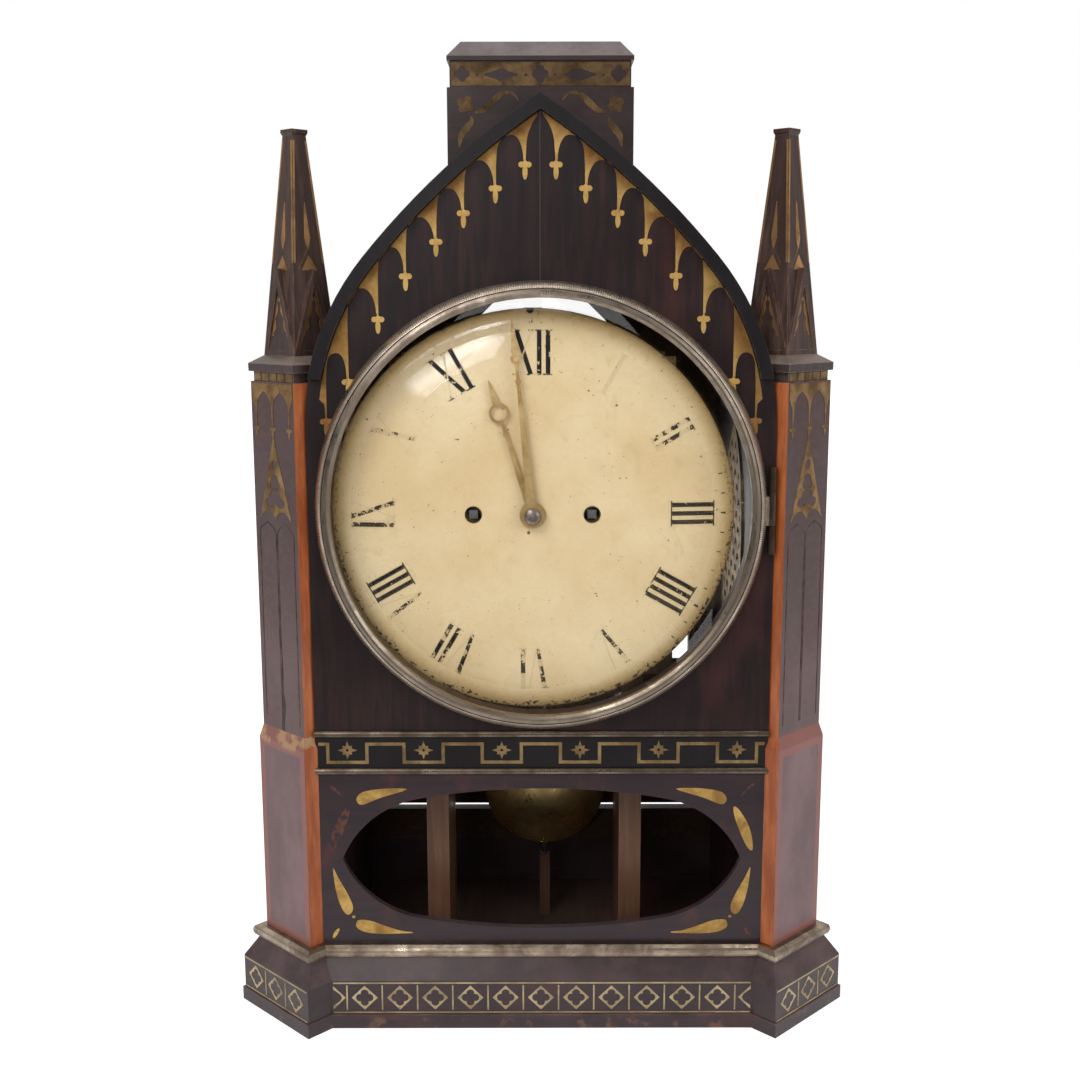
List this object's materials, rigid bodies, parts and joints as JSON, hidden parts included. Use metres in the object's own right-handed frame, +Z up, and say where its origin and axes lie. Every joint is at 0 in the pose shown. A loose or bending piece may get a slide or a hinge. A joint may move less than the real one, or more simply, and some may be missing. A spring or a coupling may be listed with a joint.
{
  "type": "fusee clock",
  "caption": "Gothic lancet bracket clock with a round painted dial, inlaid case, fusee movement with fret-sided case, rear door and short pendulum.",
  "frame": {"origin": "middle of the bounding box at the surface that the plinth stands on", "axes": "+Z up, +X to the right and +Y to the back as one faces the dial"},
  "size_m": [0.3292, 0.191, 0.502],
  "materials": {
    "rosewood": "french-polished rosewood veneer, worn, with brass inlay",
    "ebonised": "ebonised wood, polished, with brass inlay",
    "softwood": "plain planed softwood, aged",
    "case_brass": "polished brass with a slight tarnish",
    "movement_brass": "finely grained brass",
    "clear_glass": "clear polished glass",
    "painted_dial": "cream painted iron, slightly crazed and worn",
    "steel": "polished steel",
    "gilt_brass": "thin gilt brass, the gilding worn",
    "bell_metal": "cast bell metal, turned",
    "gut": "twisted gut line"
  },
  "bodies": {
    "case_and_frame": {"base_plinth": "rosewood", "floor_board": "softwood", "brass_beads": "case_brass", "side_panels": "rosewood", "side_frets": "case_brass", "upper_front_panel": "rosewood", "frieze_panel": "ebonised", "lower_front_panel": "rosewood", "arch_rim": "ebonised", "roof_boards": "rosewood", "lower_buttresses": "rosewood", "upper_buttresses": "ebonised", "buttress_caps": "ebonised", "pinnacles": "ebonised", "pedestal": "ebonised", "back_frame": "rosewood", "rear_hinge_frame_leaves": "case_brass", "bezel_hinge": "case_brass", "seatboard": "softwood", "seat_posts": "softwood", "pendulum_rest_post": "softwood", "dial": "painted_dial", "front_plate": "movement_brass", "back_plate": "movement_brass", "plate_pillars": "movement_brass", "barrel_arbors": "steel", "time_line": "gut", "strike_line": "gut", "back_cock": "movement_brass", "bell": "bell_metal", "bell_stand": "movement_brass"},
    "bezel": {"bezel_ring": "case_brass", "bezel_glass": "clear_glass"},
    "rear_door": {"rear_door_frame": "rosewood", "rear_door_glass": "clear_glass", "rear_hinge_door_leaves": "case_brass"},
    "latch": {"rear_door_latch": "case_brass"},
    "centre": {"centre_wheel": "movement_brass", "cannon_pinion": "steel", "minute_hand": "gilt_brass"},
    "minute": {"minute_wheel": "movement_brass"},
    "hour": {"hour_wheel": "movement_brass", "hour_hand": "gilt_brass"},
    "time_winding": {"time_great_wheel": "movement_brass", "time_fusee": "movement_brass"},
    "time_spring_barrel": {"time_barrel": "movement_brass"},
    "third": {"third_wheel": "movement_brass"},
    "escape": {"escape_wheel": "movement_brass"},
    "pendulum": {"pendulum_rod": "steel", "pendulum_bob": "case_brass"},
    "anchor": {"pallets": "steel"},
    "pin": {"pin_wheel": "movement_brass"},
    "strike_winding": {"strike_great_wheel": "movement_brass", "strike_fusee": "movement_brass"},
    "strike_spring_barrel": {"strike_barrel": "movement_brass"},
    "gathering": {"gathering_wheel": "movement_brass"},
    "warning": {"warning_wheel": "movement_brass"},
    "fan": {"fly": "movement_brass"},
    "bell_hammer": {"hammer": "steel"},
    "strike_rack": {"rack": "movement_brass"}
  },
  "joints": [
    {"name": "bezel_hinge_turn", "type": "hinge", "parent": "case_and_frame", "child": "bezel", "pos_m": [0.1154, -0.0776, 0.2755], "axis": [0, 0, 1], "range_deg": [0, 100]},
    {"name": "rear_door_turn", "type": "hinge", "parent": "case_and_frame", "child": "rear_door", "pos_m": [-0.10235, 0.0937, 0.23], "axis": [0, 0, 1], "range_deg": [0, 105]},
    {"name": "latch_turn", "type": "hinge", "parent": "case_and_frame", "child": "latch", "pos_m": [0.1097, 0.093, 0.16], "axis": [0, 1, 0], "range_deg": [-90, 0]},
    {"name": "minute_turn", "type": "hinge", "parent": "case_and_frame", "child": "centre", "pos_m": [-0.0042, -0.075, 0.2724], "axis": [0, 1, 0], "continuous": true},
    {"name": "hour_turn", "type": "hinge", "parent": "case_and_frame", "child": "hour", "pos_m": [-0.0042, -0.055, 0.2724], "axis": [0, 1, 0], "continuous": true},
    {"name": "minute_wheel_turn", "type": "hinge", "parent": "case_and_frame", "child": "minute", "pos_m": [-0.0042, -0.045, 0.2464], "axis": [0, 1, 0], "continuous": true},
    {"name": "time_fusee_turn", "type": "hinge", "parent": "case_and_frame", "child": "time_winding", "pos_m": [0.0258, -0.015, 0.2724], "axis": [0, 1, 0], "continuous": true, "deforming": ["time_line"]},
    {"name": "time_barrel_turn", "type": "hinge", "parent": "case_and_frame", "child": "time_spring_barrel", "pos_m": [0.0423, -0.015, 0.2249], "axis": [0, 1, 0], "continuous": true, "deforming": ["time_line"]},
    {"name": "third_turn", "type": "hinge", "parent": "case_and_frame", "child": "third", "pos_m": [-0.01018, 0.013, 0.2977], "axis": [0, 1, 0], "continuous": true},
    {"name": "escape_turn", "type": "hinge", "parent": "case_and_frame", "child": "escape", "pos_m": [0.00201, 0.009, 0.3126], "axis": [0, 1, 0], "continuous": true},
    {"name": "pendulum_swing", "type": "hinge", "parent": "case_and_frame", "child": "pendulum", "pos_m": [0.00201, 0.037, 0.3351], "axis": [0, 1, 0], "range_deg": [-3, 3]},
    {"name": "anchor_rock", "type": "hinge", "parent": "case_and_frame", "child": "anchor", "pos_m": [0.00201, 0.009, 0.3351], "axis": [0, 1, 0], "range_deg": [-3, 3]},
    {"name": "strike_turn", "type": "hinge", "parent": "case_and_frame", "child": "pin", "pos_m": [-0.0529, 0.013, 0.2911], "axis": [0, 1, 0], "continuous": true},
    {"name": "strike_fusee_turn", "type": "hinge", "parent": "case_and_frame", "child": "strike_winding", "pos_m": [-0.0342, -0.015, 0.2724], "axis": [0, 1, 0], "continuous": true, "deforming": ["strike_line"]},
    {"name": "strike_barrel_turn", "type": "hinge", "parent": "case_and_frame", "child": "strike_spring_barrel", "pos_m": [-0.0507, -0.015, 0.2249], "axis": [0, 1, 0], "continuous": true, "deforming": ["strike_line"]},
    {"name": "gathering_turn", "type": "hinge", "parent": "case_and_frame", "child": "gathering", "pos_m": [-0.04621, -0.019, 0.3097], "axis": [0, 1, 0], "continuous": true},
    {"name": "warning_turn", "type": "hinge", "parent": "case_and_frame", "child": "warning", "pos_m": [-0.0337, -0.009, 0.3193], "axis": [0, 1, 0], "continuous": true},
    {"name": "fly_turn", "type": "hinge", "parent": "case_and_frame", "child": "fan", "pos_m": [-0.02419, -0.025, 0.32786], "axis": [0, 1, 0], "continuous": true},
    {"name": "hammer_swing", "type": "hinge", "parent": "case_and_frame", "child": "bell_hammer", "pos_m": [-0.0662, -0.008, 0.3174], "axis": [0, 1, 0], "range_deg": [-12, 0]},
    {"name": "rack_fall", "type": "hinge", "parent": "case_and_frame", "child": "strike_rack", "pos_m": [-0.0522, -0.05, 0.2344], "axis": [0, 1, 0], "range_deg": [-3, 0]}
  ],
  "couplings": [
    {"joint": "minute_wheel_turn", "follows": "minute_turn", "ratio": -1},
    {"joint": "hour_turn", "follows": "minute_turn", "ratio": 0.083333},
    {"joint": "time_fusee_turn", "follows": "minute_turn", "ratio": -0.083333},
    {"joint": "time_barrel_turn", "follows": "minute_turn", "ratio": -0.058675},
    {"joint": "third_turn", "follows": "minute_turn", "ratio": -12},
    {"joint": "escape_turn", "follows": "minute_turn", "ratio": 120},
    {"joint": "anchor_rock", "follows": "pendulum_swing", "ratio": 1},
    {"joint": "strike_fusee_turn", "follows": "strike_turn", "ratio": -0.095238},
    {"joint": "strike_barrel_turn", "follows": "strike_turn", "ratio": -0.067057},
    {"joint": "gathering_turn", "follows": "strike_turn", "ratio": -8},
    {"joint": "warning_turn", "follows": "strike_turn", "ratio": 64},
    {"joint": "fly_turn", "follows": "strike_turn", "ratio": -457.14}
  ]
}
